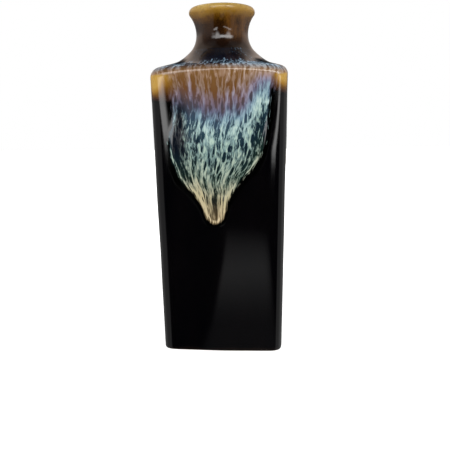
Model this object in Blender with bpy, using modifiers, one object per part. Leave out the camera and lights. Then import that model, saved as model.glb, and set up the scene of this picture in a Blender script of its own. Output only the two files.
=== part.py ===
"""Square sake bottle in glazed stoneware.

The clay is put together from four members: a floor slab with a foot ring, a tapered
square tube of walls, a shoulder that turns the square into a circle, and a thrown neck.
Three coats of glaze tile the outside (black below, streaked rutile on the shoulder and
down the faces, amber on the neck and lip) and a fourth lines the inside. +Z is up, the
face with the long drip looks along -Y, and the origin is the middle of the foot.
"""

import math

import bmesh
import bpy
from mathutils import Matrix

MM = 0.001

# Outer form, in millimetres.
BASE_HALF = 35.5         # half the width across the faces, at the foot
TOP_HALF = 37.9          # the same, where the walls meet the shoulder
FACE_CROWN = 0.7         # how far the middle of a face swells
CORNER_RADIUS = 7.0      # upright corners
EDGE_CROWN = 1.0         # the shoulder's edge: this much up at mid-face and down at the corners
EDGE_HEIGHT = 162.6      # where the wall and shoulder lines would meet
EDGE_RADIUS = 4.4
SHOULDER_SLOPE = math.radians(32.5)
WAIST_RADIUS = 15.3      # narrowest part of the neck
NECK_HOLLOW = 17.1       # radius of the arc from the shoulder into the waist
FLARE_HOLLOW = 14.3      # radius of the arc from the waist out to the lip
FLARE_ANGLE = math.radians(39.5)
LIP_BEAD = 2.8           # radius of the rounded lip
TOTAL_HEIGHT = 200.0

# Thicknesses, in millimetres.
GLAZE = 0.6
GAP = 0.3                # between any two members
CLAY = 4.0
LINER = 0.5
LEAST_RADIUS = 1.2       # no inner corner is sharper than this

# Heights of the joints, in millimetres.
FOOT_CLEAR = 0.6         # bare clay between the table and the black glaze
FLOOR_TOP = 6.5
RECESS_DEPTH = 1.5
RECESS_HALF = 29.0
FOOT_BEVEL = 1.0
WALL_TOP = 156.0
SHOULDER_TOP = 177.0     # the joint between the shoulder and the neck
GLAZE_BREAK = 175.0      # the joint between the rutile and the amber coats
LINER_TOP = 188.0        # where the lining meets the amber coat, inside the neck
SKIRT_FOOT = 60.0        # lowest point that the rutile coat is modelled from

# Facets.
FACE_STEPS = 4           # along each straight side of a section
CORNER_STEPS = 4         # round each upright corner
TURNED_STEPS = 32
EDGE_STEPS = 4
SLOPE_STEPS = 3          # along the shoulder, between the rounded edge and the neck
NECK_STEPS = 6
FLARE_STEPS = 4
LIP_STEPS = 8

# Points that a drip's edge curves through, from left to right, in whole millimetres: (x, z)
# on the front and back faces, (y, z) on the two sides. Past its ends the edge runs level.
FACE_DRIP = (
    (-31, 149), (-26, 144), (-25, 133), (-27, 120), (-20, 101), (-10, 87), (-4, 77),
    (3, 86), (13, 102), (23, 115), (27, 134), (31, 152),
)
SIDE_DRIP = ((-29, 152), (-22, 138), (-8, 122), (2, 106), (10, 121), (22, 137), (30, 151))
DRIP_STEPS = 3           # straight pieces between two of those points
DRIP_REACH = 60.0        # past the corners

CLAY_COLOUR = (0.62, 0.50, 0.36, 1)
BLACK_COLOUR = (0.006, 0.006, 0.007, 1)
RUTILE_COLOUR = (0.36, 0.42, 0.38, 1)
AMBER_COLOUR = (0.24, 0.13, 0.03, 1)
LINER_COLOUR = (0.012, 0.009, 0.007, 1)


def makeMaterial(name, colour, roughness):
    material = bpy.data.materials.new(name)
    material.use_nodes = True
    shader = material.node_tree.nodes["Principled BSDF"]
    shader.inputs["Base Color"].default_value = colour
    shader.inputs["Roughness"].default_value = roughness
    material.diffuse_color = colour
    return material


def arcPoints(centre, radius, start, end, steps):
    """Points on an arc, both ends included; angles run from +r towards +z."""
    return [
        (centre[0] + radius * math.cos(start + (end - start) * i / steps),
         centre[1] + radius * math.sin(start + (end - start) * i / steps))
        for i in range(steps + 1)
    ]


def shoulderLine(radius, depth):
    """Height of the shoulder's straight slope at a radius, for a surface `depth` below the outside."""
    rise = (TOP_HALF - radius) * math.tan(SHOULDER_SLOPE)
    return EDGE_HEIGHT + rise - depth / math.cos(SHOULDER_SLOPE)


def wallHalf(height, depth):
    return BASE_HALF + (TOP_HALF - BASE_HALF) * height / EDGE_HEIGHT - depth


def neckCentre():
    """Centre of the hollow arc that joins the shoulder to the waist, shared by every depth."""
    radius = WAIST_RADIUS + NECK_HOLLOW
    return radius, shoulderLine(radius, -NECK_HOLLOW)


def edgeArc(depth):
    """The rounded edge between wall and shoulder, from the wall up."""
    radius = max(EDGE_RADIUS - depth, LEAST_RADIUS)
    centre_r = TOP_HALF - depth - radius
    centre_z = shoulderLine(centre_r, depth + radius)
    return arcPoints((centre_r, centre_z), radius, 0, math.pi / 2 - SHOULDER_SLOPE, EDGE_STEPS)


def hollowArc(depth):
    """The neck below its waist, from the shoulder up."""
    start = math.pi * 1.5 - SHOULDER_SLOPE
    return arcPoints(neckCentre(), NECK_HOLLOW + depth, start, math.pi, NECK_STEPS)


def flareArc(depth):
    """The neck above its waist, up to the lip."""
    centre = (WAIST_RADIUS + FLARE_HOLLOW, neckCentre()[1])
    return arcPoints(centre, FLARE_HOLLOW + depth, math.pi, math.pi - FLARE_ANGLE, FLARE_STEPS)


def lipCentre():
    flare_r, flare_z = flareArc(0)[-1]
    return flare_r - LIP_BEAD * math.cos(FLARE_ANGLE), flare_z + LIP_BEAD * math.sin(FLARE_ANGLE)


def neckProfile(depth):
    """The turned part of the outside: hollow, waist and flare, from the shoulder up."""
    return hollowArc(depth) + flareArc(depth)[1:]


def cutAt(points, low, high):
    """The stretch of a rising profile between two heights, with points made at both ends."""
    kept = []
    for (r0, z0), (r1, z1) in zip(points, points[1:]):
        if z1 <= low or z0 >= high:
            continue
        for limit in (max(z0, low), min(z1, high)):
            share = (limit - z0) / (z1 - z0)
            point = (r0 + (r1 - r0) * share, limit)
            if not kept or math.dist(kept[-1], point) > 1e-6:
                kept.append(point)
    return kept


def section(half, height, corner, squareness=1, sag=0):
    """One closed ring of points: a crowned, rounded square that fades into a circle. Its
    mid-faces stand above the height, and its corners below it, by the sag."""
    straight = half - corner
    square = []
    for side in range(4):
        turn = side * math.pi / 2
        flat = [(half, straight * (2 * i / FACE_STEPS - 1)) for i in range(FACE_STEPS)]
        crowned = [(x + FACE_CROWN * (1 - (y / straight) ** 2), y) for x, y in flat]
        bend = arcPoints((straight, straight), corner, 0, math.pi / 2, CORNER_STEPS)[:-1]
        for x, y in crowned + bend:
            square.append((x * math.cos(turn) - y * math.sin(turn),
                           x * math.sin(turn) + y * math.cos(turn)))
    ring = []
    for x, y in square:
        reach = math.hypot(x, y)
        blend = squareness + (1 - squareness) * half / reach
        corner_share = min(abs(x), abs(y)) / half
        ring.append((x * blend, y * blend, height + sag * (1 - 2 * corner_share ** 2)))
    return ring


def slopePoints(start, end):
    """Points inside the straight slope between two others."""
    shares = [i / SLOPE_STEPS for i in range(1, SLOPE_STEPS)]
    return [(start[0] + (end[0] - start[0]) * share, start[1] + (end[1] - start[1]) * share)
            for share in shares]


def bodyRings(depth, low, high):
    """Sections of the body, shoulder and neck between two heights, `depth` below the outside."""
    corner = max(CORNER_RADIUS - depth, LEAST_RADIUS)
    edge = edgeArc(depth)
    neck = neckProfile(depth)
    profile = [(wallHalf(z, depth), z) for z in (0, WALL_TOP)]
    profile += edge + slopePoints(edge[-1], neck[0]) + neck
    square_until, round_from = edge[-1], neck[0]
    rings = []
    for radius, height in cutAt(profile, low, high):
        share = (radius - round_from[0]) / (square_until[0] - round_from[0])
        squareness = 1 if height <= square_until[1] else max(share, 0)
        sag = EDGE_CROWN * squareness if height > WALL_TOP + GAP else 0
        rings.append(section(radius, height, corner, squareness, sag))
    return rings


def addRing(mesh, ring):
    return [mesh.verts.new([value * MM for value in point]) for point in ring]


def loft(rings, closed):
    """Skins a stack of rings that hold the same number of points. A closed stack comes back
    to its first ring, as a hollow wall does; any other is capped at both ends."""
    mesh = bmesh.new()
    loops = [addRing(mesh, ring) for ring in rings]
    pairs = list(zip(loops, loops[1:]))
    if closed:
        pairs.append((loops[-1], loops[0]))
    else:
        mesh.faces.new(loops[0][::-1])
        mesh.faces.new(loops[-1])
    for lower, upper in pairs:
        for i in range(len(lower)):
            j = (i + 1) % len(lower)
            mesh.faces.new((lower[i], lower[j], upper[j], upper[i]))
    bmesh.ops.recalc_face_normals(mesh, faces=mesh.faces)
    return mesh


def makeObject(name, mesh, collection, material=None):
    data = bpy.data.meshes.new(name)
    mesh.to_mesh(data)
    mesh.free()
    piece = bpy.data.objects.new(name, data)
    collection.objects.link(piece)
    if material:
        data.materials.append(material)
        data.shade_smooth()
        data.set_sharp_from_angle(angle=math.radians(40))
    return piece


def makeShell(name, outer, inner, collection, material):
    """A wall between two stacks of rings, open at both ends."""
    return makeObject(name, loft(outer + inner[::-1], closed=True), collection, material)


def makeTurned(name, outline, collection, material):
    """A ring turned from a closed outline that runs down its outer side."""
    mesh = bmesh.new()
    points = [mesh.verts.new((r * MM, 0, z * MM)) for r, z in outline]
    for start, end in zip(points, points[1:] + points[:1]):
        mesh.edges.new((start, end))
    piece = makeObject(name, mesh, collection, material)
    screw = piece.modifiers.new("Turn", "SCREW")
    screw.steps = TURNED_STEPS
    screw.render_steps = TURNED_STEPS
    screw.use_merge_vertices = True
    screw.merge_threshold = 0.00001
    screw.use_smooth_shade = True
    return piece


def makeBaseSlab(collection, material):
    """The floor: a plate with a shallow recess under it, which leaves the foot ring."""
    corner = CORNER_RADIUS - GLAZE - GAP
    half = wallHalf(0, GLAZE + GAP)
    rings = [
        section(RECESS_HALF - FOOT_BEVEL, RECESS_DEPTH, corner),
        section(RECESS_HALF, 0, corner),
        section(half - FOOT_BEVEL, 0, corner),
        section(half, FOOT_BEVEL, corner),
        section(wallHalf(FLOOR_TOP, GLAZE + GAP), FLOOR_TOP, corner),
    ]
    return makeObject("base_slab", loft(rings, closed=False), collection, material)


def makeBodyWalls(collection, material):
    outside = GLAZE + GAP
    low = FLOOR_TOP + GAP
    outer = bodyRings(outside, low, WALL_TOP)
    inner = bodyRings(outside + CLAY, low, WALL_TOP)
    return makeShell("body_walls", outer, inner, collection, material)


def makeShoulder(collection, material):
    outside = GLAZE + GAP
    low = WALL_TOP + GAP
    outer = bodyRings(outside, low, SHOULDER_TOP)
    inner = bodyRings(outside + CLAY, low, SHOULDER_TOP)
    return makeShell("shoulder_cap", outer, inner, collection, material)


def lipArc(depth):
    """Over the lip, from the outside to the bore."""
    return arcPoints(lipCentre(), LIP_BEAD - depth, -FLARE_ANGLE, math.pi + FLARE_ANGLE / 2, LIP_STEPS)


def boreProfile(depth, low):
    """The bore under the lip, from `low` up."""
    return cutAt(neckProfile(depth), low, lipCentre()[1] - 2 * LIP_BEAD)


def makeNeck(collection, material):
    outside = GLAZE + GAP
    outer = cutAt(neckProfile(outside), SHOULDER_TOP + GAP, TOTAL_HEIGHT)
    over = lipArc(outside)[1:]
    bore = boreProfile(outside + CLAY, SHOULDER_TOP + GAP)
    outline = (outer + over + bore[::-1])[::-1]
    return makeTurned("neck_collar", outline, collection, material)


def makeAmberGlaze(collection, material):
    """The neck's coat: up the outside, over the lip and a little way down the bore."""
    outside = GLAZE + GAP
    skin = cutAt(neckProfile(0), GLAZE_BREAK, TOTAL_HEIGHT) + lipArc(0)[1:]
    skin += boreProfile(outside + CLAY + GAP + LINER, LINER_TOP + GAP)[::-1]
    back = cutAt(neckProfile(GLAZE), GLAZE_BREAK, TOTAL_HEIGHT) + lipArc(GLAZE)[1:]
    back += boreProfile(outside + CLAY + GAP, LINER_TOP + GAP)[::-1]
    return makeTurned("amber_glaze", (skin + back[::-1])[::-1], collection, material)


def makeLinerGlaze(collection, material):
    """The lining: a bottle within the bottle, with a floor and an open neck."""
    depth = GLAZE + GAP + CLAY + GAP
    floor = FLOOR_TOP + GAP
    outer = bodyRings(depth, floor, LINER_TOP)
    inner = bodyRings(depth + LINER, floor + LINER, LINER_TOP)
    return makeObject("liner_glaze", loft(outer + inner[::-1], closed=False), collection, material)


def curveThrough(points, steps):
    """A smooth curve through a few points, both ends included (a Catmull-Rom spline)."""
    padded = points[:1] + points + points[-1:]
    curve = [points[0]]
    for before, start, end, after in zip(padded, padded[1:], padded[2:], padded[3:]):
        for i in range(1, steps + 1):
            t = i / steps
            curve.append(tuple(
                b + ((c - a) * t + (2 * a - 5 * b + 4 * c - d) * t ** 2
                     + (3 * b - a - 3 * c + d) * t ** 3) / 2
                for a, b, c, d in zip(before, start, end, after)
            ))
    return curve


def dripEdge(points):
    """The drip's curve with a level apron on each side of it."""
    curve = curveThrough(points, DRIP_STEPS)
    return [(-DRIP_REACH, curve[0][1])] + curve + [(DRIP_REACH, curve[-1][1])]


def makeDripCutter(name, edge, collection, turn):
    """Everything above the drip's lower edge, as a plate right through the bottle."""
    mesh = bmesh.new()
    reach, top = 80, TOTAL_HEIGHT + 20
    outline = list(edge) + [(edge[-1][0], top), (edge[0][0], top)]
    front = mesh.faces.new([mesh.verts.new((x * MM, -reach * MM, z * MM)) for x, z in outline])
    grown = bmesh.ops.extrude_face_region(mesh, geom=[front])
    moved = [item for item in grown["geom"] if isinstance(item, bmesh.types.BMVert)]
    bmesh.ops.translate(mesh, verts=moved, vec=(0, 2 * reach * MM, 0))
    bmesh.ops.recalc_face_normals(mesh, faces=mesh.faces)
    bmesh.ops.rotate(mesh, verts=mesh.verts, matrix=Matrix.Rotation(turn, 3, "Z"))
    cutter = makeObject(name, mesh, collection)
    cutter.display_type = "WIRE"
    cutter.hide_render = True
    return cutter


def raised(edge, gap):
    """The drip's edge moved into the rutile by a gap, square to the edge."""
    moved = []
    for i, (x, z) in enumerate(edge):
        before = edge[max(i - 1, 0)]
        after = edge[min(i + 1, len(edge) - 1)]
        run, rise = after[0] - before[0], after[1] - before[1]
        length = math.hypot(run, rise)
        moved.append((x - gap * rise / length, z + gap * run / length))
    return moved


def addBoolean(piece, other, operation):
    boolean = piece.modifiers.new("Drip edge", "BOOLEAN")
    boolean.operation = operation
    boolean.object = other
    boolean.solver = "EXACT"


def makeDripCross(name, gap, collection):
    """Everything above the drip on all four faces: two plates that cross at right angles."""
    cross = makeDripCutter(name, raised(dripEdge(FACE_DRIP), gap), collection, 0)
    side = makeDripCutter(name + "_side", raised(dripEdge(SIDE_DRIP), gap), collection, math.pi / 2)
    addBoolean(cross, side, "UNION")
    return cross


def makeBlackGlaze(collection, cutters, material):
    outer = bodyRings(0, FOOT_CLEAR, SHOULDER_TOP)
    inner = bodyRings(GLAZE, FOOT_CLEAR, SHOULDER_TOP)
    piece = makeShell("black_glaze", outer, inner, collection, material)
    addBoolean(piece, makeDripCross("drip_cutter", 0, cutters), "DIFFERENCE")
    return piece


def makeRutileGlaze(collection, cutters, material):
    outer = bodyRings(0, SKIRT_FOOT, GLAZE_BREAK - GAP)
    inner = bodyRings(GLAZE, SKIRT_FOOT, GLAZE_BREAK - GAP)
    piece = makeShell("rutile_glaze", outer, inner, collection, material)
    addBoolean(piece, makeDripCross("drip_keeper", GAP, cutters), "INTERSECT")
    return piece


def newCollection(name):
    collection = bpy.data.collections.new(name)
    bpy.context.scene.collection.children.link(collection)
    return collection


def main():
    for item in list(bpy.data.objects):
        bpy.data.objects.remove(item, do_unlink=True)
    bottle = newCollection("sake_bottle")
    cutters = newCollection("cutters")
    clay = makeMaterial("bare_clay", CLAY_COLOUR, 0.85)
    makeBaseSlab(bottle, clay)
    makeBodyWalls(bottle, clay.copy())
    makeShoulder(bottle, clay.copy())
    makeNeck(bottle, clay.copy())
    makeLinerGlaze(bottle, makeMaterial("liner_glaze", LINER_COLOUR, 0.1))
    makeBlackGlaze(bottle, cutters, makeMaterial("black_glaze", BLACK_COLOUR, 0.05))
    makeRutileGlaze(bottle, cutters, makeMaterial("rutile_glaze", RUTILE_COLOUR, 0.12))
    makeAmberGlaze(bottle, makeMaterial("amber_glaze", AMBER_COLOUR, 0.08))


main()
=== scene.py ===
import math
import bpy
import numpy as np
from mathutils import Matrix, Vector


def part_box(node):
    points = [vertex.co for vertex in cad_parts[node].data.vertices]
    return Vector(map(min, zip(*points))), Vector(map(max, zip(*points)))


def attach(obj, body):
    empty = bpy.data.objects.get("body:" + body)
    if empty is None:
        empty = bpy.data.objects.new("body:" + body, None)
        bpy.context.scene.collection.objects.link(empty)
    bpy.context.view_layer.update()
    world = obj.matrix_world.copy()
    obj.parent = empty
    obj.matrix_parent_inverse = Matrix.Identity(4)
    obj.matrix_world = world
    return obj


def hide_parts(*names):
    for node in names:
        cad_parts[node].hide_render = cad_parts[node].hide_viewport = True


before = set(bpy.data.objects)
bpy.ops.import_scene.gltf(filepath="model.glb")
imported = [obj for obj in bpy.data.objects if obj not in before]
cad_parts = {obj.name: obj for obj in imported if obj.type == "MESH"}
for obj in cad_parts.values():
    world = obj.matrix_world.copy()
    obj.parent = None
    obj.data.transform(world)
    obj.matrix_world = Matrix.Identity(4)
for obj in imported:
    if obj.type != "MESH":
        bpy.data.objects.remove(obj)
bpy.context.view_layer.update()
mm = 0.001


cameraSetup = {
    "lens": 42.3,           # on a 36 mm sensor
    "distance": 0.3307,     # from the bottle's axis, along the floor
    "height": 0.1372,
    "turn": 4.5,            # degrees round the bottle, towards its right side
    "pitch": 11.5,          # degrees below level
    "roll": -0.85,
}


def placeCamera(setup):
    turn = math.radians(setup["turn"])
    data = bpy.data.cameras.new("bottleCamera")
    data.lens = setup["lens"]
    data.sensor_width = 36
    camera = bpy.data.objects.new("bottleCamera", data)
    bpy.context.scene.collection.objects.link(camera)
    heading = Matrix.Rotation(turn, 4, "Z")
    tilt = Matrix.Rotation(math.radians(90 - setup["pitch"]), 4, "X")
    roll = Matrix.Rotation(math.radians(setup["roll"]), 4, "Z")
    spot = (setup["distance"] * math.sin(turn), -setup["distance"] * math.cos(turn), setup["height"])
    camera.matrix_world = Matrix.Translation(spot) @ heading @ tilt @ roll
    bpy.context.scene.camera = camera


placeCamera(cameraSetup)
print("camera placed")


# Node helpers. A value is a number or a socket.
def addNode(tree, kind, **settings):
    node = tree.nodes.new(kind)
    for name, value in settings.items():
        setattr(node, name, value)
    return node


def feed(tree, socket, value):
    if isinstance(value, bpy.types.NodeSocket):
        tree.links.new(value, socket)
    elif value is not None:
        socket.default_value = value


def maths(tree, operation, first, second=None, third=None, clamp=False):
    node = addNode(tree, "ShaderNodeMath", operation=operation, use_clamp=clamp)
    for socket, value in zip(node.inputs, (first, second, third)):
        feed(tree, socket, value)
    return node.outputs[0]


def stepUp(tree, value, low, high, toLow=0.0, toHigh=1.0):
    node = addNode(tree, "ShaderNodeMapRange", interpolation_type="SMOOTHSTEP")
    for socket, number in zip(node.inputs, (value, low, high, toLow, toHigh)):
        feed(tree, socket, number)
    return node.outputs[0]


def scaled(tree, vector, factors):
    node = addNode(tree, "ShaderNodeVectorMath", operation="MULTIPLY")
    feed(tree, node.inputs[0], vector)
    feed(tree, node.inputs[1], factors)
    return node.outputs[0]


def summed(tree, first, second):
    node = addNode(tree, "ShaderNodeVectorMath", operation="ADD")
    feed(tree, node.inputs[0], first)
    feed(tree, node.inputs[1], second)
    return node.outputs[0]


def cloud(tree, vector, scale, detail=2.0, roughness=0.5, colour=False):
    node = addNode(tree, "ShaderNodeTexNoise")
    feed(tree, node.inputs["Vector"], vector)
    node.inputs["Scale"].default_value = scale
    node.inputs["Detail"].default_value = detail
    node.inputs["Roughness"].default_value = roughness
    return node.outputs["Color" if colour else "Fac"]


def cells(tree, vector, scale, feature="F1", distance="EUCLIDEAN"):
    node = addNode(tree, "ShaderNodeTexVoronoi", feature=feature, distance=distance)
    feed(tree, node.inputs["Vector"], vector)
    node.inputs["Scale"].default_value = scale
    return node


def colourRamp(tree, value, stops):
    node = addNode(tree, "ShaderNodeValToRGB")
    elements = node.color_ramp.elements
    while len(elements) < len(stops):
        elements.new(1.0)
    for element, (place, colour) in zip(elements, stops):
        element.position = place
        element.color = paint(colour)
    feed(tree, node.inputs[0], value)
    return node.outputs[0]


def blend(tree, share, first, second, mode="MIX"):
    node = addNode(tree, "ShaderNodeMix", data_type="RGBA", blend_type=mode)
    feed(tree, node.inputs[0], share)
    feed(tree, node.inputs[6], first if not isinstance(first, tuple) else paint(first))
    feed(tree, node.inputs[7], second if not isinstance(second, tuple) else paint(second))
    return node.outputs[2]


def linear(level):
    level = level / 255
    return level / 12.92 if level <= 0.04045 else ((level + 0.055) / 1.055) ** 2.4


def paint(colour):
    return tuple(linear(level) for level in colour[:3]) + (1.0,)


def newMaterial(name):
    material = bpy.data.materials.new(name)
    material.use_nodes = True
    tree = material.node_tree
    return material, tree, tree.nodes["Principled BSDF"]


def attribute(tree, name):
    return addNode(tree, "ShaderNodeAttribute", attribute_name=name).outputs["Vector"]


def split(tree, vector):
    node = addNode(tree, "ShaderNodeSeparateXYZ")
    feed(tree, node.inputs[0], vector)
    return node.outputs


def bumpFrom(tree, shader, height, strength, distance):
    node = addNode(tree, "ShaderNodeBump")
    node.inputs["Strength"].default_value = strength
    node.inputs["Distance"].default_value = distance
    feed(tree, node.inputs["Height"], height)
    tree.links.new(node.outputs[0], shader.inputs["Normal"])


# The glaze mirrors this room. Angles are in degrees: round from the camera, and up.
roomSetup = {
    "backdrop": 1.0,        # what the camera sees behind the bottle
    "fill": 0.72,           # the soft light that colours are seen by
    "front": 0.006,         # the dark part of the room, behind the camera
    "side": 0.36,
    "behind": 0.17,
    "behindHigh": 0.5,
    "warm": (255, 232, 216),
    "ceiling": 0.09,
    "window": 4.2,
    "windowHigh": 5.2,
    "bar": 7.5,             # the bright beam that joins the two windows at the top
    "barLow": 25.0,
    "barHigh": 36.0,
    "leftWindow": (-35.0, -21.3),     # at eye level, from the outer edge to the inner
    "leftLean": (2.0, 0.55),          # how far each edge moves for a degree up, below eye level
    "rightWindow": (21.0, 33.0),
    "rightLean": (2.9, 3.3),
    "windowFeet": (-4.5, -6.6),
    "leftHead": (-24.0, -20.0),       # the upper parts of the two windows
    "rightHead": (25.0, 30.0),
    "headSpread": 0.3,
    "barReach": 46.0,
    "pane": (-46.0, -24.0),           # a faint pane high on the left
    "paneLow": 14.0,
    "paneHigh": 37.0,
    "paneLight": 1.1,
    "mirroredTwice": 0.15,            # how much of the windows a second reflection keeps
    "floorSize": 4.0,
    "floorGlow": 0.80,
    "floorShine": 0.34,     # the pale patch of table that the lower front mirrors
}


def product(tree, *values):
    result = values[0]
    for value in values[1:]:
        result = maths(tree, "MULTIPLY", result, value)
    return result


def between(tree, value, low, high, soft):
    # 1 between two edges, which are numbers or sockets, and 0 outside them.
    rise = maths(tree, "DIVIDE", maths(tree, "SUBTRACT", value, low), soft)
    fall = maths(tree, "DIVIDE", maths(tree, "SUBTRACT", high, value), soft)
    rise = maths(tree, "ADD", rise, 0.5, clamp=True)
    fall = maths(tree, "ADD", fall, 0.5, clamp=True)
    return product(tree, rise, fall)


def leaningWindow(tree, turn, rise, edges, lean, foot):
    low = maths(tree, "MAXIMUM", maths(tree, "MINIMUM", rise, 2.0), -6.0)
    outer = maths(tree, "MULTIPLY_ADD", low, lean[0], edges[0])
    inner = maths(tree, "MULTIPLY_ADD", low, lean[1], edges[1])
    return product(tree, between(tree, turn, outer, inner, 2.5), between(tree, rise, foot, 5.0, 2.0))


def windowHead(tree, turn, rise, edges, widening):
    # The window's upper part, which widens and brightens towards the beam.
    spread = maths(tree, "MULTIPLY", rise, widening)
    low = maths(tree, "SUBTRACT", edges[0], spread)
    high = maths(tree, "ADD", edges[1], spread)
    inside = between(tree, turn, low, high, 7.0)
    return product(tree, inside, stepUp(tree, rise, 2.0, 24.0), stepUp(tree, rise, 41.0, 36.0))


def buildRoom(setup):
    world = bpy.data.worlds.new("room")
    bpy.context.scene.world = world
    world.use_nodes = True
    tree = world.node_tree
    tree.nodes.clear()
    direction = addNode(tree, "ShaderNodeTexCoord").outputs["Generated"]
    spin = addNode(tree, "ShaderNodeVectorRotate", rotation_type="Z_AXIS")
    feed(tree, spin.inputs["Vector"], direction)
    spin.inputs["Angle"].default_value = -math.radians(cameraSetup["turn"])
    side, ahead, up = split(tree, spin.outputs[0])
    turn = maths(tree, "DEGREES", maths(tree, "ARCTAN2", side, maths(tree, "MULTIPLY", ahead, -1.0)))
    rise = maths(tree, "DEGREES", maths(tree, "ARCSINE", up))
    wide = maths(tree, "ABSOLUTE", turn)

    leftFoot, rightFoot = setup["windowFeet"]
    leftLean = [-lean for lean in setup["leftLean"]]
    left = leaningWindow(tree, turn, rise, setup["leftWindow"], leftLean, leftFoot)
    right = leaningWindow(tree, turn, rise, setup["rightWindow"], setup["rightLean"], rightFoot)
    light = maths(tree, "MULTIPLY", maths(tree, "MAXIMUM", left, right), setup["window"])
    leftHead = windowHead(tree, turn, rise, setup["leftHead"], setup["headSpread"])
    rightHead = windowHead(tree, turn, rise, setup["rightHead"], setup["headSpread"])
    heads = maths(tree, "MAXIMUM", leftHead, rightHead)
    light = maths(tree, "MAXIMUM", light, maths(tree, "MULTIPLY", heads, setup["windowHigh"]))

    barSide = stepUp(tree, turn, -18.0, -4.0, 0.5, 1.0)
    bar = product(tree, between(tree, rise, setup["barLow"], setup["barHigh"], 3.0),
                  between(tree, turn, -setup["barReach"], setup["barReach"], 14.0), barSide)
    light = maths(tree, "MAXIMUM", light, maths(tree, "MULTIPLY", bar, setup["bar"]))

    pane = product(tree, between(tree, turn, *setup["pane"], 8.0),
                   between(tree, rise, setup["paneLow"], setup["paneHigh"], 5.0), setup["paneLight"])
    light = maths(tree, "MAXIMUM", light, pane)

    sides = product(tree, stepUp(tree, wide, 33.0, 41.0, 0.0, setup["side"]), stepUp(tree, wide, 150.0, 95.0),
                    stepUp(tree, rise, 40.0, 12.0, 0.25, 1.0))
    # A dark opening behind, wider towards the top.
    doorway = maths(tree, "MAXIMUM", stepUp(tree, rise, 34.0, 58.0, 0.05, 0.33),
                    stepUp(tree, rise, 31.0, 26.0, 0.0, 0.14))
    aside = stepUp(tree, maths(tree, "SUBTRACT", maths(tree, "ABSOLUTE", side), doorway), -0.03, 0.04)
    rear = product(tree, stepUp(tree, wide, 60.0, 110.0), setup["behind"],
                   maths(tree, "MAXIMUM", aside, stepUp(tree, rise, 20.0, 4.0)))
    rearHigh = product(tree, stepUp(tree, wide, 92.0, 112.0), stepUp(tree, rise, 4.0, 15.0),
                       stepUp(tree, rise, 70.0, 42.0), aside, stepUp(tree, rise, 40.0, 28.0, 1.0, 1.5),
                       setup["behindHigh"] - setup["behind"])
    ceiling = product(tree, stepUp(tree, rise, 40.0, 55.0), aside, setup["ceiling"])
    path = addNode(tree, "ShaderNodeLightPath")
    again = stepUp(tree, path.outputs["Ray Depth"], 2.4, 2.6, 1.0, setup["mirroredTwice"])
    light = maths(tree, "MULTIPLY_ADD", light, again, setup["front"])
    for part in (sides, rear, rearHigh, ceiling):
        light = maths(tree, "ADD", light, part)
    warmth = product(tree, stepUp(tree, rise, 4.0, 20.0), stepUp(tree, wide, 70.0, 86.0))
    tint = blend(tree, warmth, (255, 255, 255), setup["warm"])

    shades = []
    white = (1, 1, 1, 1)
    for colour, strength in ((tint, light), (white, setup["fill"]), (white, setup["backdrop"])):
        shade = addNode(tree, "ShaderNodeBackground")
        feed(tree, shade.inputs["Color"], colour)
        feed(tree, shade.inputs["Strength"], strength)
        shades.append(shade.outputs[0])
    result = shades[0]
    for ray, shade in (("Is Diffuse Ray", shades[1]), ("Is Camera Ray", shades[2])):
        chosen = addNode(tree, "ShaderNodeMixShader")
        feed(tree, chosen.inputs[0], path.outputs[ray])
        feed(tree, chosen.inputs[1], result)
        feed(tree, chosen.inputs[2], shade)
        result = chosen.outputs[0]
    out = addNode(tree, "ShaderNodeOutputWorld")
    tree.links.new(result, out.inputs[0])


def buildFloor(setup):
    half = setup["floorSize"] / 2
    mesh = bpy.data.meshes.new("floor")
    corners = [(-half, -half, 0), (half, -half, 0), (half, half, 0), (-half, half, 0)]
    mesh.from_pydata(corners, [], [(0, 1, 2, 3)])
    floor = bpy.data.objects.new("floor", mesh)
    bpy.context.scene.collection.objects.link(floor)
    material, tree, shader = newMaterial("paleFloor")
    shader.inputs["Base Color"].default_value = (0.85, 0.85, 0.85, 1)
    shader.inputs["Roughness"].default_value = 0.9
    shader.inputs["Specular IOR Level"].default_value = 0.0
    shader.inputs["Emission Color"].default_value = (1, 1, 1, 1)
    shader.inputs["Emission Strength"].default_value = setup["floorGlow"]
    x, y, z = split(tree, addNode(tree, "ShaderNodeTexCoord").outputs["Object"])
    patch = product(tree, stepUp(tree, x, -0.016, -0.008), stepUp(tree, x, 0.070, 0.030), setup["floorShine"],
                    stepUp(tree, y, -0.36, -0.19), stepUp(tree, y, -0.20, -0.07, 1.0, 0.22))
    shine = addNode(tree, "ShaderNodeEmission")
    shine.inputs["Color"].default_value = (1, 1, 1, 1)
    feed(tree, shine.inputs["Strength"], patch)
    clear = addNode(tree, "ShaderNodeBsdfTransparent")      # in the glaze, the floor gives way to the room
    dim = addNode(tree, "ShaderNodeAddShader")
    tree.links.new(shine.outputs[0], dim.inputs[0])
    tree.links.new(clear.outputs[0], dim.inputs[1])
    path = addNode(tree, "ShaderNodeLightPath")
    chosen = addNode(tree, "ShaderNodeMixShader")
    tree.links.new(path.outputs["Is Glossy Ray"], chosen.inputs[0])
    tree.links.new(shader.outputs[0], chosen.inputs[1])
    tree.links.new(dim.outputs[0], chosen.inputs[2])
    tree.links.new(chosen.outputs[0], tree.nodes["Material Output"].inputs[0])
    mesh.materials.append(material)


buildRoom(roomSetup)
buildFloor(roomSetup)
bpy.context.scene.view_settings.view_transform = "Standard"
print("room and floor built")


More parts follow.
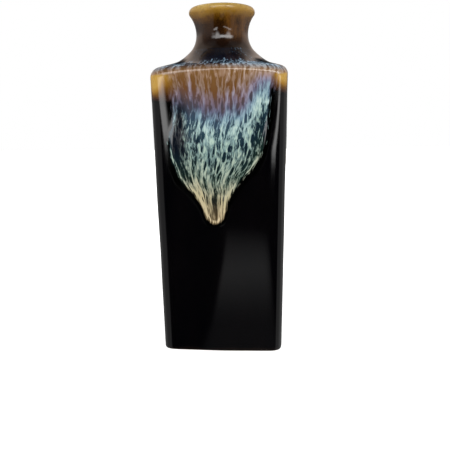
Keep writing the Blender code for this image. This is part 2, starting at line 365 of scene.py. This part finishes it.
form = {
    "squareness": 12.5,      # power of the rounded square
    "faceCrown": 0.7 * mm,
    "edgeCrown": 1.0 * mm,   # the shoulder's edge, up at mid-face and down at the corners
    "edgeRadius": 4.4 * mm,
    "cornerSoftness": 3.5 * mm,
    "edgeSlope": 14.0,       # degrees, where the rounded edge runs into the shoulder
    "shoulderSlope": 32.5,
    "neckSlope": 45.0,       # where the shoulder runs into the neck
    "neckHollow": 14.2 * mm,
    "flareHollow": 17.8 * mm,
    "flareAngle": 37.0,
    "lipBead": 2.6 * mm,
    "lipTrim": 0.25 * mm,
    "wobble": 0.10 * mm,     # unevenness of the hand-finished walls
    "waves": 9,
    "waveLength": (28, 75),  # in millimetres
    "columns": 520,
}
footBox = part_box("base_slab")
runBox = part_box("rutile_glaze")
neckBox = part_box("amber_glaze")
topHalf = runBox[1].x - form["faceCrown"]
footHalf = footBox[1].x + 0.2 * mm
totalHeight = neckBox[1].z
lipSpot = (neckBox[1].x - form["lipTrim"] - form["lipBead"], totalHeight - form["lipBead"])

flareAngle = math.radians(form["flareAngle"])
flareEnd = (lipSpot[0] + form["lipBead"] * math.cos(flareAngle),
            lipSpot[1] - form["lipBead"] * math.sin(flareAngle))
waistRadius = flareEnd[0] - form["flareHollow"] * (1 - math.cos(flareAngle))
waistHeight = flareEnd[1] - form["flareHollow"] * math.sin(flareAngle)
shoulderSlope = math.radians(form["shoulderSlope"])
hollowSpot = (waistRadius + form["neckHollow"], waistHeight)
edgeHeight = (hollowSpot[1] - form["neckHollow"] / math.cos(shoulderSlope)
              + (hollowSpot[0] - topHalf) * math.tan(shoulderSlope))
print("form worked out, shoulder edge at", round(edgeHeight / mm, 1), "mm")

columns = form["columns"]
around = np.arange(columns) / columns * 2 * math.pi - math.pi   # 0 looks along -Y, positive to +X
nearSide = np.abs(np.sin(around))
nearFace = np.abs(np.cos(around))


def squareReachAt(side, face):
    # How far a rounded square of half width 1 reaches in a direction, from its sine and cosine.
    power = form["squareness"]
    return (side ** power + face ** power) ** (-1 / power)


squareReach = squareReachAt(nearSide, nearFace)
cornerShare = np.minimum(nearSide, nearFace) / np.maximum(nearSide, nearFace)
sag = form["edgeCrown"] * (1 - 2 * cornerShare ** 2)
outward = np.stack([np.sin(around), -np.cos(around), np.zeros(columns)], 1)


def squareRing(half, height, lift=0.0):
    reach = half * squareReach + form["faceCrown"] * np.cos(2 * around) ** 2
    ring = outward * reach[:, None]
    ring[:, 2] = height + lift * sag
    return ring


def roundRing(radius, height):
    ring = outward * radius
    ring[:, 2] = height
    return ring


def wallHalf(height):
    return footHalf + (topHalf - footHalf) * height / edgeHeight


def hollowPoint(slope, radiusGain=0.0):
    return (hollowSpot[0] - (form["neckHollow"] + radiusGain) * math.sin(slope),
            hollowSpot[1] - (form["neckHollow"] + radiusGain) * math.cos(slope))


def edgeRings(steps):
    fullTurn = math.pi / 2 - math.radians(form["edgeSlope"])
    radius = form["edgeRadius"] + form["cornerSoftness"] * cornerShare ** 4
    start = edgeHeight - radius * math.tan(math.pi / 4 - shoulderSlope / 2)
    rings = []
    for i in range(steps + 1):
        turn = fullTurn * i / steps
        inset = radius * (1 - math.cos(turn))
        rings.append(squareRing(topHalf - inset, start + radius * math.sin(turn), 1.0))
    return rings


def shoulderRings(steps):
    edge = edgeRings(2)[-1]
    neckSlope = math.radians(form["neckSlope"])
    neck = roundRing(*hollowPoint(neckSlope))
    run = neck - edge
    level = run * (1, 1, 0)
    level /= np.linalg.norm(level, axis=1)[:, None]
    length = np.linalg.norm(run, axis=1)[:, None]
    edgeSlope = math.radians(form["edgeSlope"])
    edgePull = (level * math.cos(edgeSlope) + np.array([0, 0, math.sin(edgeSlope)])) * length
    neckPull = (-outward * math.cos(neckSlope) + np.array([0, 0, math.sin(neckSlope)])) * length
    rings = []
    for i in range(1, steps + 1):
        t = i / steps
        rings.append(edge * (2 * t ** 3 - 3 * t ** 2 + 1) + edgePull * (t ** 3 - 2 * t ** 2 + t)
                     + neck * (3 * t ** 2 - 2 * t ** 3) + neckPull * (t ** 3 - t ** 2))
    return rings


def hollowRings(depth, startSlope, endSlope, steps):
    return [roundRing(*hollowPoint(slope, depth)) for slope in np.linspace(startSlope, endSlope, steps + 1)]


def neckRings(depth, startSlope, hollowSteps, flareSteps):
    rings = hollowRings(depth, startSlope, math.pi / 2, hollowSteps)
    spot = (waistRadius + form["flareHollow"], waistHeight)
    radius = form["flareHollow"] + depth
    for turn in np.linspace(0, flareAngle, flareSteps + 1)[1:]:
        rings.append(roundRing(spot[0] - radius * math.cos(turn), spot[1] + radius * math.sin(turn)))
    return rings


def lipRings(depth, steps):
    rings = []
    for turn in np.linspace(-flareAngle, math.pi + flareAngle / 2, steps + 1)[1:]:
        radius = form["lipBead"] - depth
        rings.append(roundRing(lipSpot[0] + radius * math.cos(turn), lipSpot[1] + radius * math.sin(turn)))
    return rings


def wobbled(points, amount):
    chance = np.random.default_rng(11)
    shift = np.zeros(points.shape[:-1])
    for _ in range(form["waves"]):
        along = chance.normal(size=3)
        along *= 2 * math.pi / (chance.uniform(*form["waveLength"]) * mm) / np.linalg.norm(along)
        shift += np.sin(points @ along + chance.uniform(0, 2 * math.pi)) / 4
    return shift * amount


def gridNormals(points):
    across = np.roll(points, -1, 1) - np.roll(points, 1, 1)
    up = np.gradient(points, axis=0)
    normals = np.cross(across, up)
    return normals / np.maximum(np.linalg.norm(normals, axis=2), 1e-12)[:, :, None]


def evenedWalls(points):
    calm = np.clip((points[:, :, 2] - 2 * mm) / (12 * mm), 0, 1)[:, :, None]
    return points + gridNormals(points) * wobbled(points, form["wobble"])[:, :, None] * calm


def skinMesh(name, points, fields):
    rows, cols = points.shape[:2]
    index = np.arange(rows * cols).reshape(rows, cols)
    right = np.roll(index, -1, 1)
    faces = np.stack([index[:-1], right[:-1], right[1:], index[1:]], 2).reshape(-1, 4).tolist()
    mesh = bpy.data.meshes.new(name)
    mesh.from_pydata(points.reshape(-1, 3).tolist(), [], faces)
    for field, values in fields.items():
        layer = mesh.attributes.new(field, "FLOAT_VECTOR", "POINT")
        layer.data.foreach_set("vector", values.reshape(-1).astype(np.float32))
    mesh.shade_smooth()
    piece = bpy.data.objects.new(name, mesh)
    bpy.context.scene.collection.objects.link(piece)
    return piece


def joinFrame(piece, material, slot, *nodes):
    piece.data.materials.append(material)
    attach(piece, "root")
    if nodes:
        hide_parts(*nodes)


blackCoat = {
    "footClear": 0.35 * mm,
    "footRoll": 1.1 * mm,
    "rowStep": 1.5 * mm,
    "ink": (1, 1, 2),
    "breaking": (14, 9, 7),
    "roughness": 0.045,
}


def bodyForm(setup, rowStep):
    rings = []
    roll = setup["footRoll"]
    for turn in np.linspace(-math.pi / 2, 0, 7)[:-1]:
        half = wallHalf(0) - roll * (1 - math.cos(turn))
        rings.append(squareRing(half, setup["footClear"] + roll * (1 + math.sin(turn))))
    start = setup["footClear"] + roll
    end = edgeRings(2)[0]
    steps = int((edgeHeight - start) / rowStep)
    for i in range(steps):
        share = i / steps
        low = squareRing(wallHalf(start), start)
        ring = low * (1 - share) + end * share
        rings.append(ring)
    return rings


def buildBlackCoat(setup):
    rings = bodyForm(setup, setup["rowStep"]) + edgeRings(10) + shoulderRings(16)
    points = evenedWalls(np.array(rings))
    piece = skinMesh("blackCoat", points, {})
    material, tree, shader = newMaterial("gloss black glaze")
    place = addNode(tree, "ShaderNodeTexCoord").outputs["Object"]
    drift = cloud(tree, scaled(tree, place, (1, 1, 0.4)), 60, 4)
    height = split(tree, place)[2]
    foot = stepUp(tree, maths(tree, "MULTIPLY_ADD", drift, -0.004, height), 0.0015, -0.0015)
    ink = colourRamp(tree, drift, [(0.35, setup["ink"]), (0.75, (3, 2, 3))])
    tree.links.new(blend(tree, foot, ink, setup["breaking"]), shader.inputs["Base Color"])
    feed(tree, shader.inputs["Roughness"], stepUp(tree, drift, 0.3, 0.8, setup["roughness"], 0.09))
    peel = cloud(tree, place, 420, 2)
    bumpFrom(tree, shader, peel, 0.02, 0.0002)
    joinFrame(piece, material, "black_glaze", "black_glaze")


buildBlackCoat(blackCoat)
print("black coat built")


# The points that each drip curves through, from its left to its right, as (across, height) in
# whole millimetres. The run is open above openTop, where the shoulder's edge is near.
openTop = 166
faceDrip = [
    (-29, 166), (-25, 146), (-25, 137), (-28, 124), (-23, 105), (-14, 95), (-9, 87), (-7, 81), (-3, 78),
    (1, 80), (3, 85), (5, 92), (13, 103), (22, 114), (26, 129), (29, 149), (33, 166),
]
sideDrip = [
    (-28, 166), (-23, 145), (-14, 127), (-5, 117), (2, 106), (8, 116), (17, 129), (25, 147), (29, 166),
]


def curveThrough(points, steps):
    padded = points[:1] + points + points[-1:]
    curve = [points[0]]
    for before, start, end, after in zip(padded, padded[1:], padded[2:], padded[3:]):
        for i in range(1, steps + 1):
            t = i / steps
            curve.append(tuple(
                b + ((c - a) * t + (2 * a - 5 * b + 4 * c - d) * t ** 2
                     + (3 * b - a - 3 * c + d) * t ** 3) / 2
                for a, b, c, d in zip(before, start, end, after)))
    return curve


def turnedBack(points):
    return [(-x, z) for x, z in points[::-1]]


runSetup = {
    "drips": [curveThrough(drip, 4)
              for drip in (faceDrip, sideDrip, turnedBack(faceDrip), turnedBack(sideDrip))],
    # Where the amber ends above the black: left corner, left of the drip, right of the drip.
    "apron": [(148, 146, 152), (151, 149, 150), (149, 151, 148), (150, 149, 150)],
    "margin": 2.0,
    "body": 0.22,           # thickness over the black, and of the fat lower rim
    "rim": 0.20,
    "tip": 0.30,            # extra at the tip
    "veil": 0.05,           # the thinnest, over the shoulder
    "follow": 0.75,         # how closely the streaks close in as the drip narrows
    "cornerReach": 72,      # length of the colours' run at the corners
    "wallRows": 140,
    "leftAhead": 0.05,      # how much further down the colours already are, at the drip's left
    "midAhead": 0.03,       # and right of its middle
    "rightAhead": 0.17,     # and at its right edge
}
faceOf = np.round(around / (math.pi / 2)).astype(int)
across = np.tan(around - faceOf * math.pi / 2) * topHalf / mm
perimeter = 8 * topHalf / mm
place = faceOf * perimeter / 4 + across


def insideDrips(spotsX, spotsZ, setup):
    # Signed distance to the drips' outlines, in millimetres, positive inside.
    nearest = np.full(spotsX.shape, 1e9)
    within = np.zeros(spotsX.shape, bool)
    for face in range(-2, 3):
        outline = [(face * perimeter / 4 + x, z) for x, z in setup["drips"][face % 4]]
        for (x0, z0), (x1, z1) in zip(outline, outline[1:]):
            runX, runZ = x1 - x0, z1 - z0
            share = ((spotsX - x0) * runX + (spotsZ - z0) * runZ) / (runX ** 2 + runZ ** 2)
            share = np.clip(share, 0, 1)
            gap = np.hypot(spotsX - x0 - share * runX, spotsZ - z0 - share * runZ)
            nearest = np.minimum(nearest, gap)
            if x0 != x1:
                lineZ = z0 + (spotsX - x0) / (x1 - x0) * runZ
                within ^= (spotsX >= min(x0, x1)) & (spotsX < max(x0, x1)) & (lineZ < spotsZ)
    return np.where(within, nearest, -nearest)


def apronAt(setup):
    spots, heights = [], []
    for face in range(-2, 3):
        corner, left, right = setup["apron"][face % 4]
        middle = face * perimeter / 4
        spots += [middle - perimeter / 8, middle - 27, middle + 27]
        heights += [corner, left, right]
    return np.interp(place, spots, heights)


def lowestOf(setup):
    # The run's lower limit at each column: its drip, or the apron between two drips.
    low = apronAt(setup)
    for face in range(-2, 3):
        outline = [(face * perimeter / 4 + x, z) for x, z in setup["drips"][face % 4]]
        for (x0, z0), (x1, z1) in zip(outline, outline[1:]):
            over = (place > min(x0, x1) - 0.6) & (place < max(x0, x1) + 0.6)
            low = np.where(over, np.minimum(low, min(z0, z1)), low)
    return low


def smoothRound(values, width):
    weights = np.hanning(2 * width + 1)
    weights /= weights.sum()
    wrapped = np.concatenate([values[-width:], values, values[:width]])
    return np.convolve(wrapped, weights, "valid")


def stretchOf(heights, face, setup):
    # How far the drip has narrowed at each height, and where its middle is.
    outline = setup["drips"][face % 4]
    tip = min(range(len(outline)), key=lambda i: outline[i][1])
    left = outline[:tip + 1][::-1]
    right = outline[tip:]
    leftEdge = np.interp(heights, [z for x, z in left], [x for x, z in left])
    rightEdge = np.interp(heights, [z for x, z in right], [x for x, z in right])
    width = np.maximum((rightEdge - leftEdge) / (right[-1][0] - left[-1][0]), 0.12)
    return width, (leftEdge + rightEdge) / 2


def ease(value, low, high):
    share = np.clip((value - low) / (high - low), 0, 1)
    return share * share * (3 - 2 * share)


def buildRun(setup):
    low = lowestOf(setup) - setup["margin"]
    for i in range(3):
        low = np.minimum(low, np.minimum(np.roll(low, 1), np.roll(low, -1)))
    low = smoothRound(low, 3) * mm
    top = edgeRings(2)[0]
    base = squareRing(footHalf, 0.0)
    rows = []
    for i in range(setup["wallRows"]):
        share = i / setup["wallRows"]
        height = low * (1 - share) + top[:, 2] * share
        along = (height / top[:, 2])[:, None]
        rows.append(base * (1 - along) + top * along)
    neckSlope = math.radians(form["neckSlope"])
    rows += edgeRings(14) + shoulderRings(24) + hollowRings(0.0, neckSlope, neckSlope + 0.17, 6)[1:]
    points = evenedWalls(np.array(rows))
    edgeRow = setup["wallRows"] + 5

    steps = np.linalg.norm(np.diff(points, axis=0), axis=2)
    climbed = np.concatenate([np.zeros((1, columns)), np.cumsum(steps, 0)], 0)
    fallen = -(climbed - climbed[edgeRow]) / mm              # distance run from the shoulder's edge
    placeAll = np.broadcast_to(place, fallen.shape)
    acrossAll = np.broadcast_to(across, fallen.shape)
    height = np.where(fallen > 0, edgeHeight / mm - fallen, openTop + np.abs(fallen))
    inside = insideDrips(placeAll, np.minimum(height, openTop - 0.5), setup)
    inside = np.where(fallen > 3, inside, inside * (fallen > 0) * fallen / 3 + (3 - fallen) * 3)

    spread = np.zeros(fallen.shape)
    reach = np.zeros(fallen.shape)
    for face in range(-2, 3):
        width, middle = stretchOf(height, face, setup)
        corner = 1 - (acrossAll / (perimeter / 8)) ** 2
        here = (acrossAll - middle * corner) / (1 + setup["follow"] * (width - 1))
        spread = np.where(faceOf == face, here, spread)
        tip = min(z for x, z in setup["drips"][face % 4])
        reach = np.where(faceOf == face, edgeHeight / mm - tip, reach)
    turn = faceOf * math.pi / 2 + np.arctan(spread * mm / topHalf)
    ringReach = squareReachAt(np.abs(np.sin(turn)), np.abs(np.cos(turn))) * topHalf / mm
    flow = np.stack([np.sin(turn) * ringReach, -np.cos(turn) * ringReach, fallen], 2)

    corner = ease(np.abs(acrossAll), 27, 37)
    reach = reach * (1 - corner) + setup["cornerReach"] * corner
    mirrored = np.where(np.abs(faceOf) == 2, -1, 1)
    band = fallen / reach
    onWall = ease(fallen, 0, 8) * (1 - corner)
    side = acrossAll * mirrored
    ahead = (setup["leftAhead"] * ease(-side, 6, 14) + setup["midAhead"] * ease(side, 2, 12)
             + setup["rightAhead"] * ease(side, 13, 25))
    band = band + onWall * ahead
    apron = np.broadcast_to(apronAt(setup), fallen.shape)
    hardness = 1 + 1.2 * ease(np.abs(acrossAll), 29, 35)
    amber = (height - apron) * hardness
    paintField = np.stack([inside, band, amber], 2)
    facing = (faceOf % 2 == 0) * 1.0
    # Dusk darkens the left, lift brightens the right, and core darkens the middle of the drip.
    dusk = facing * ease(-side, 15, 20.5) * ease(band, 0.17, 0.34) * (1 - 0.6 * ease(band, 0.54, 0.66))
    lift = 0.26 * ease(side, 8, 20) - 0.12 * (1 - ease(side, -1, 6)) * ease(side, -24, -18)
    lift = lift * (1 - ease(band, 0.26, 0.46)) + 0.16 * ease(np.abs(acrossAll), 14, 26) * ease(-fallen, 0, 3)
    lift = lift - 0.10 * ease(-side, 5, 11) * ease(band, 0.32, 0.42) * (1 - ease(band, 0.60, 0.72))
    core = ease(band, 0.76, 0.85) * (1 - ease(band, 0.90, 0.97))
    lift = lift + core * (0.16 - 0.46 * np.exp(-((side + 2.6) / 1.1) ** 2))
    lift = facing * lift
    hug = 1 - facing * ease(side, 12, 18) * (1 - ease(band, 0.40, 0.50))
    shadeField = np.stack([dusk, lift, hug], 2)
    rimShare = 1 - 0.85 * facing * ease(side, 10, 15) * (1 - ease(band, 0.66, 0.78))
    rimField = np.stack([rimShare, rimShare, rimShare], 2)

    body = setup["body"] * ease(inside, -1, 2.5) * ease(band, 0.2, 0.5)
    rim = setup["rim"] * np.exp(-((inside - 1.3) / 1.0) ** 2) * ease(band, 0.4, 0.8)
    drip = setup["tip"] * np.exp(-(acrossAll / 12) ** 2) * ease(band, 0.82, 0.97) * ease(inside, 0, 3)
    thickness = (setup["veil"] + body + rim + drip) * mm
    thickness[0] = -0.15 * mm
    thickness[-6:] = (np.linspace(0.04, -0.12, 6) * mm)[:, None]
    points = points + gridNormals(points) * thickness[:, :, None]
    fields = {"flow": flow, "veil": paintField, "shade": shadeField, "rim": rimField}
    return skinMesh("streakedRun", points, fields)


# Colours down the run, from the neck to the drip's tip: where the glaze is thinnest, half thick
# and thickest.
runBands = [
    (-0.20, (5, 10, 20), (35, 50, 60), (110, 140, 165)),        # night
    (-0.05, (25, 30, 45), (85, 105, 120), (150, 175, 195)),     # frost
    (0.01, (105, 75, 40), (130, 100, 75), (160, 140, 120)),     # toffee
    (0.14, (90, 60, 35), (115, 95, 80), (140, 120, 120)),       # amber and mauve
    (0.22, (75, 60, 60), (105, 90, 100), (130, 125, 140)),      # mauve
    (0.28, (55, 55, 65), (80, 80, 100), (110, 115, 135)),       # periwinkle
    (0.34, (45, 60, 75), (90, 115, 130), (125, 150, 160)),      # slate blue
    (0.40, (40, 60, 70), (130, 155, 155), (165, 185, 180)),     # ice
    (0.50, (15, 30, 40), (105, 130, 130), (155, 175, 160)),     # mint
    (0.72, (15, 30, 25), (90, 105, 95), (145, 155, 140)),       # sage
    (0.86, (25, 25, 20), (115, 108, 85), (168, 158, 125)),      # straw
    (1.0, (75, 62, 42), (142, 125, 95), (185, 168, 135)),       # cream
]


def bandPlace(value):
    return (value + 0.2) / 1.2


def runMaterial():
    material, tree, shader = newMaterial("streaked rutile glaze")
    flow = attribute(tree, "flow")
    inside, band, amber = split(tree, attribute(tree, "veil"))
    dusk, lift, hug = split(tree, attribute(tree, "shade"))
    fallen = split(tree, flow)[2]

    def level(value, share):
        return maths(tree, "MULTIPLY", maths(tree, "SUBTRACT", value, 0.5), share)

    def total(*values):
        result = values[0]
        for value in values[1:]:
            result = maths(tree, "ADD", result, value)
        return result

    sway = cloud(tree, scaled(tree, flow, (0.16, 0.16, 0.06)), 1.0, 2, colour=True)
    bent = summed(tree, flow, scaled(tree, sway, (2.4, 2.4, 6.0)))
    kink = cloud(tree, scaled(tree, flow, (0.5, 0.5, 0.22)), 1.0, 1, colour=True)
    bent = summed(tree, bent, scaled(tree, kink, (1.0, 1.0, 2.0)))
    broad = cloud(tree, scaled(tree, bent, (0.30, 0.30, 0.06)), 1.0, 2, 0.5)
    middling = cloud(tree, scaled(tree, bent, (0.62, 0.62, 0.10)), 1.0, 2, 0.5)
    fine = cloud(tree, scaled(tree, bent, (1.5, 1.5, 0.22)), 1.0, 2, 0.5)

    # A stretched net of threads round lens-shaped holes, in two sizes.
    wide = scaled(tree, bent, (0.40, 0.40, 0.135))
    holes = cells(tree, wide, 1.0)
    gaps = cells(tree, wide, 1.0, "DISTANCE_TO_EDGE").outputs["Distance"]
    narrow = scaled(tree, bent, (0.85, 0.85, 0.27))
    pores = cells(tree, narrow, 1.0)
    slits = cells(tree, narrow, 1.0, "DISTANCE_TO_EDGE").outputs["Distance"]
    holeTone = split(tree, holes.outputs["Color"])[0]
    poreTone = split(tree, pores.outputs["Color"])[1]
    thread = stepUp(tree, gaps, 0.02, 0.26, 1.0, 0.0)
    strand = stepUp(tree, slits, 0.02, 0.24, 1.0, 0.0)

    netted = stepUp(tree, band, 0.22, 0.42)
    plain = stepUp(tree, band, 0.78, 0.90, 1.0, 0.35)
    threadPull = product(tree, thread, stepUp(tree, netted, 0.0, 1.0, 0.24, 0.34), plain)
    strandPull = product(tree, strand, stepUp(tree, netted, 0.0, 1.0, 0.04, 0.20), plain)
    hair = cloud(tree, scaled(tree, bent, (2.8, 2.8, 0.42)), 1.0, 2, 0.6)
    detail = product(tree, stepUp(tree, netted, 0.0, 1.0, 0.5, 1.4), plain)
    lens = product(tree, stepUp(tree, holes.outputs["Distance"], 0.20, 0.46, 1.0, 0.0),
                   stepUp(tree, holeTone, 0.50, 0.34), stepUp(tree, band, 0.05, 0.45, 0.35, 1.0))
    grain = maths(tree, "MULTIPLY", total(level(fine, 1.0), level(hair, 0.9)), detail)
    tone = total(0.28, level(poreTone, 0.30), threadPull, strandPull, maths(tree, "MULTIPLY", lens, -1.0),
                 level(broad, 1.3), level(middling, 1.5), grain, lift)

    calm = stepUp(tree, band, 0.84, 0.68, 0.25, 1.0)
    fringe = maths(tree, "MULTIPLY_ADD", total(level(fine, 4.0), level(middling, 5.0)), calm, inside)
    fringe = total(fringe, stepUp(tree, band, 0.4, 0.6, 0.0, 0.5), stepUp(tree, band, 0.78, 0.9, 0.0, 0.3))
    lean = maths(tree, "MULTIPLY", stepUp(tree, fringe, 1.0, 10.0, 1.0, 0.0), stepUp(tree, band, 0.22, 0.34))
    lean = product(tree, lean, stepUp(tree, band, 0.80, 0.66), hug)
    tone = maths(tree, "MULTIPLY_ADD", lean, -0.60, tone)
    rim = product(tree, between(tree, total(inside, level(middling, 1.2)), 0.15, 1.5, 0.7),
                  stepUp(tree, band, 0.42, 0.6), stepUp(tree, middling, 0.40, 0.6, 0.25, 0.9),
                  split(tree, attribute(tree, "rim"))[0])
    tone = maths(tree, "ADD", tone, rim)
    sparse = stepUp(tree, total(fallen, level(middling, 5.0)), -16.0, -7.5, -0.75, 0.0)
    tuft = cloud(tree, scaled(tree, flow, (0.75, 0.75, 0.5)), 1.0, 2, 0.6)
    tuft = maths(tree, "MULTIPLY", level(tuft, 2.6), stepUp(tree, fallen, 0.5, -3.0))
    slope = product(tree, stepUp(tree, band, 0.32, 0.42), stepUp(tree, band, 0.72, 0.60), -0.07)
    tone = maths(tree, "ADD", total(tone, tuft, slope), sparse, clamp=True)

    fray = total(level(fine, 0.07), level(middling, 0.09), level(broad, 0.10))
    ragged = maths(tree, "MULTIPLY_ADD", fray, stepUp(tree, band, 0.0, 0.16, 0.08, 1.0), band)
    along = maths(tree, "DIVIDE", maths(tree, "ADD", ragged, 0.2), 1.2)
    thin = colourRamp(tree, along, [(bandPlace(b), low) for b, low, mid, high in runBands])
    half = colourRamp(tree, along, [(bandPlace(b), mid) for b, low, mid, high in runBands])
    thick = colourRamp(tree, along, [(bandPlace(b), high) for b, low, mid, high in runBands])
    veil = blend(tree, stepUp(tree, tone, 0.14, 0.5), thin, half)
    veil = blend(tree, stepUp(tree, tone, 0.5, 0.95), veil, thick)
    shadow = product(tree, dusk, stepUp(tree, tone, 0.95, 0.35, 0.62, 1.0), stepUp(tree, rim, 0.5, 0.1),
                     stepUp(tree, total(inside, level(fine, 2.0)), 0.6, 2.4))
    veil = blend(tree, shadow, veil, (7, 12, 20))

    amberPlace = maths(tree, "DIVIDE", total(amber, level(fine, 2.4), level(middling, 2.0)), 16.0)
    ambers = colourRamp(tree, amberPlace, [
        (0.0, (0, 0, 0)), (0.05, (25, 10, 5)), (0.20, (50, 28, 12)), (0.45, (90, 58, 16)),
        (0.70, (135, 98, 32)), (1.0, (165, 130, 60)),
    ])
    onTop = stepUp(tree, total(fallen, level(fine, 2.0)), -0.9, 0.2)
    under = blend(tree, onTop, (6, 8, 12), ambers)
    softness = stepUp(tree, band, 0.15, 0.42, 6.0, 0.9)
    lowEdge = maths(tree, "MULTIPLY", softness, -0.3)
    cover = maths(tree, "DIVIDE", maths(tree, "SUBTRACT", fringe, lowEdge), softness, clamp=True)
    colour = blend(tree, cover, under, veil)
    tree.links.new(colour, shader.inputs["Base Color"])
    feed(tree, shader.inputs["Roughness"], stepUp(tree, tone, 0.0, 1.0, 0.05, 0.12))
    bumpFrom(tree, shader, product(tree, tone, cover), 0.10, 0.0002)
    return material


run = buildRun(runSetup)
joinFrame(run, runMaterial(), "rutile_glaze", "rutile_glaze")
print("streaked run built")


neckCoat = {
    "boreDepth": 5.2 * mm,
    "boreFoot": 187.0 * mm,
    "sink": 0.12 * mm,      # how far its lower hem dips under the run
}
# Colours up the neck, by height in millimetres. The palest stops, at 199 and 200 mm on the lip's top, are the
# lip's real amber lightened with a painted sheen where its top catches the light.
neckBandsAndLipSheen = [
    (168, (8, 8, 10)), (176, (18, 10, 7)), (184, (28, 13, 5)), (190, (36, 18, 2)),
    (193, (76, 48, 6)), (196, (140, 104, 34)), (199, (176, 146, 80)), (200, (200, 175, 115)),
]


def buildNeckCoat(setup):
    hem = shoulderRings(24)[-5:-1]
    rings = hem + neckRings(0.0, math.radians(form["neckSlope"]), 40, 26)
    outer = len(rings)
    rings += lipRings(0.0, 40)
    bore = [ring for ring in neckRings(setup["boreDepth"], math.radians(60), 16, 16)
            if setup["boreFoot"] < ring[0, 2] < lipSpot[1] - form["lipBead"]]
    rings += bore[::-1]
    points = np.array(rings)
    points[:outer] = evenedWalls(points[:outer])
    lift = np.zeros(len(rings))
    lift[:len(hem)] = -setup["sink"]
    points = points + gridNormals(points) * lift[:, None, None]
    piece = skinMesh("amberNeck", points, {})
    material, tree, shader = newMaterial("amber neck glaze")
    spot = addNode(tree, "ShaderNodeTexCoord").outputs["Object"]
    height = split(tree, spot)[2]
    streak = cloud(tree, scaled(tree, spot, (1, 1, 0.12)), 1300, 3, 0.55)
    patch = cloud(tree, scaled(tree, spot, (1, 1, 0.45)), 120, 3)
    drop = maths(tree, "MULTIPLY_ADD", maths(tree, "SUBTRACT", streak, 0.5), 0.0030, height)
    drop = maths(tree, "MULTIPLY_ADD", maths(tree, "SUBTRACT", patch, 0.5), 0.004, drop)
    share = maths(tree, "DIVIDE", maths(tree, "SUBTRACT", drop, 0.168), 0.032)
    # The top of this ramp is a painted sheen on the lip's top, laid over its real amber.
    colour = colourRamp(tree, share, [((z - 168) / 32, tone) for z, tone in neckBandsAndLipSheen])
    aside = split(tree, spot)[0]
    glow = product(tree, stepUp(tree, patch, 0.36, 0.60), stepUp(tree, height, 0.178, 0.187),
                   stepUp(tree, aside, 0.001, 0.006, 0.1, 1.0), stepUp(tree, streak, 0.3, 0.6, 0.4, 1.0))
    colour = blend(tree, maths(tree, "MULTIPLY", glow, 0.6), colour, (98, 62, 22))
    mottle = cloud(tree, spot, 620, 3, 0.6)
    spots = product(tree, stepUp(tree, mottle, 0.54, 0.70), stepUp(tree, height, 0.188, 0.194), 0.38)
    colour = blend(tree, spots, colour, (96, 66, 20))
    veins = product(tree, stepUp(tree, streak, 0.50, 0.66), stepUp(tree, height, 0.190, 0.194),
                    stepUp(tree, height, 0.1985, 0.196), 0.40)
    colour = blend(tree, veins, colour, (92, 60, 14))
    tree.links.new(colour, shader.inputs["Base Color"])
    feed(tree, shader.inputs["Roughness"], stepUp(tree, patch, 0.3, 0.7, 0.05, 0.11))
    bumpFrom(tree, shader, streak, 0.05, 0.0002)
    joinFrame(piece, material, "amber_glaze", "amber_glaze")


buildNeckCoat(neckCoat)
print("neck built")


clay = {
    "buff": (196, 172, 136),
    "shade": (184, 158, 122),
    "grain": (150, 122, 88),
    "speck": (112, 82, 52),
    "roughness": 0.85,
}


def clayMaterial(setup):
    material, tree, shader = newMaterial("buff stoneware")
    place = addNode(tree, "ShaderNodeTexCoord").outputs["Object"]
    grain = cloud(tree, place, 900, 4, 0.65)
    drift = cloud(tree, place, 45, 3)
    specks = cells(tree, place, 520).outputs["Distance"]
    body = colourRamp(tree, drift, [(0.3, setup["shade"]), (0.7, setup["buff"])])
    body = blend(tree, stepUp(tree, grain, 0.35, 0.75, 0.0, 0.35), body, setup["grain"])
    body = blend(tree, stepUp(tree, specks, 0.12, 0.05), body, setup["speck"])
    tree.links.new(body, shader.inputs["Base Color"])
    shader.inputs["Roughness"].default_value = setup["roughness"]
    bumpFrom(tree, shader, grain, 0.25, 0.0003)
    return material


liningCoat = {"dark": (16, 12, 11), "brown": (44, 24, 14), "roughness": (0.06, 0.14)}


def liningMaterial(setup):
    material, tree, shader = newMaterial("brown-black lining")
    place = addNode(tree, "ShaderNodeTexCoord").outputs["Object"]
    drift = cloud(tree, place, 90, 4)
    colour = colourRamp(tree, drift, [(0.35, setup["dark"]), (0.7, setup["brown"])])
    tree.links.new(colour, shader.inputs["Base Color"])
    feed(tree, shader.inputs["Roughness"], stepUp(tree, drift, 0.3, 0.7, *setup["roughness"]))
    return material


buff = clayMaterial(clay)
for name in ("base_slab", "body_walls", "shoulder_cap", "neck_collar"):
    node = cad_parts[name]
    node.data.materials.clear()
    node.data.materials.append(buff)
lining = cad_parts["liner_glaze"]
lining.data.materials.clear()
lining.data.materials.append(liningMaterial(liningCoat))
print("clay and lining finished")
